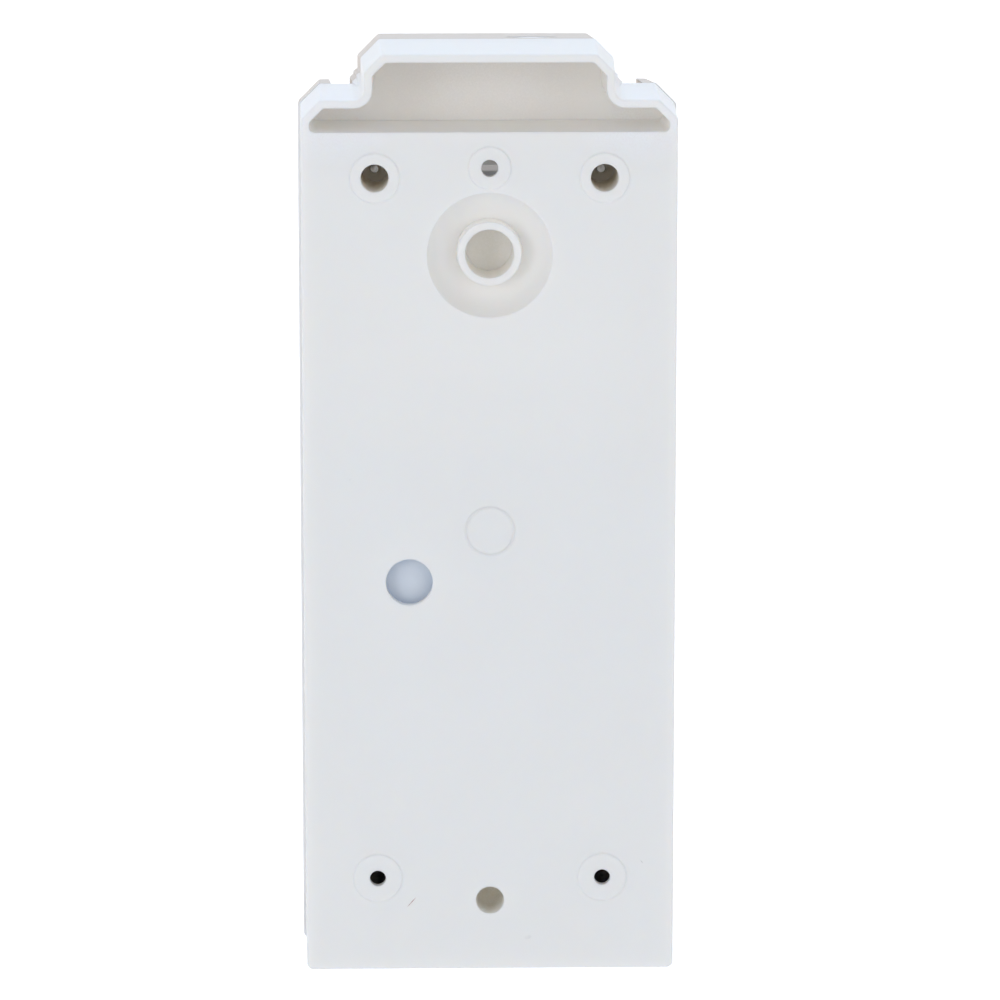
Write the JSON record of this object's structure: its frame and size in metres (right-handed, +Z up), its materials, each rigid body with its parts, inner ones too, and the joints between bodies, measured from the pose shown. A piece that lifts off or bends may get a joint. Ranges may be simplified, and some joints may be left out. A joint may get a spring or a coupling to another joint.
{
  "type": "wall mounted soap dispenser",
  "caption": "Upright white push-bar soap dispenser with a crown-shaped outline: moulded back shell with wall holes, hinged front cover, key lock, soap bottle and lift pump.",
  "frame": {"origin": "centre of the hanging hole's mouth on the wall plane", "axes": "+X to the right seen from the front, +Y into the wall, +Z up"},
  "size_m": [0.12, 0.114, 0.2888],
  "materials": {
    "shell_white": "satin moulded",
    "cover_white": "semi-gloss moulded",
    "carrier_black": "matt moulded",
    "bottle_translucent": "translucent blow moulded",
    "pump_white": "moulded",
    "seal_rubber": "matt",
    "window_smoke": "clear, lightly smoked",
    "zinc_steel": "zinc plated",
    "lock_chrome": "bright plated"
  },
  "bodies": {
    "housing": {"back_shell": "shell_white", "strike_bracket": "zinc_steel", "bracket_screws": "zinc_steel", "pump_carrier": "carrier_black", "carrier_screws": "zinc_steel", "hinge_pins": "zinc_steel", "soap_bottle": "bottle_translucent", "pump_cap": "pump_white", "neck_gasket": "seal_rubber", "pump_cylinder": "pump_white", "ball_cage": "pump_white", "inlet_ball": "zinc_steel", "plunger_guide": "pump_white", "return_spring": "zinc_steel"},
    "cover": {"front_cover": "cover_white", "level_window": "window_smoke", "bar_pins": "zinc_steel", "lock_sleeve": "lock_chrome", "lock_nut": "lock_chrome"},
    "lock": {"lock_barrel": "lock_chrome", "lock_cam": "zinc_steel", "cam_screw": "zinc_steel"},
    "push_bar": {"push_bar": "cover_white", "lift_fork": "carrier_black", "fork_screws": "zinc_steel"},
    "plunger": {"plunger_stem": "pump_white", "piston_seal": "seal_rubber", "nozzle": "pump_white", "outlet_valve": "seal_rubber"}
  },
  "joints": [
    {"name": "cover_hinge", "type": "hinge", "parent": "housing", "child": "cover", "pos_m": [0, -0.0405, -0.2445], "axis": [1, 0, 0], "range_deg": [0, 90]},
    {"name": "lock_turn", "type": "hinge", "parent": "cover", "child": "lock", "pos_m": [-0.0143, -0.058, 0.02], "axis": [0, 0, 1], "range_deg": [0, 90]},
    {"name": "bar_pivot", "type": "hinge", "parent": "cover", "child": "push_bar", "pos_m": [0, -0.104, -0.203], "axis": [1, 0, 0], "range_deg": [0, 12.7]},
    {"name": "plunger_lift", "type": "slide", "parent": "housing", "child": "plunger", "axis": [0, 0, 1], "range_m": [0, 0.009], "stiffness_N_per_m": 300, "springref_m": -0.005, "deforming": ["return_spring"]}
  ],
  "couplings": [
    {"joint": "bar_pivot", "follows": "plunger_lift", "rad_per_m": 24.57}
  ]
}
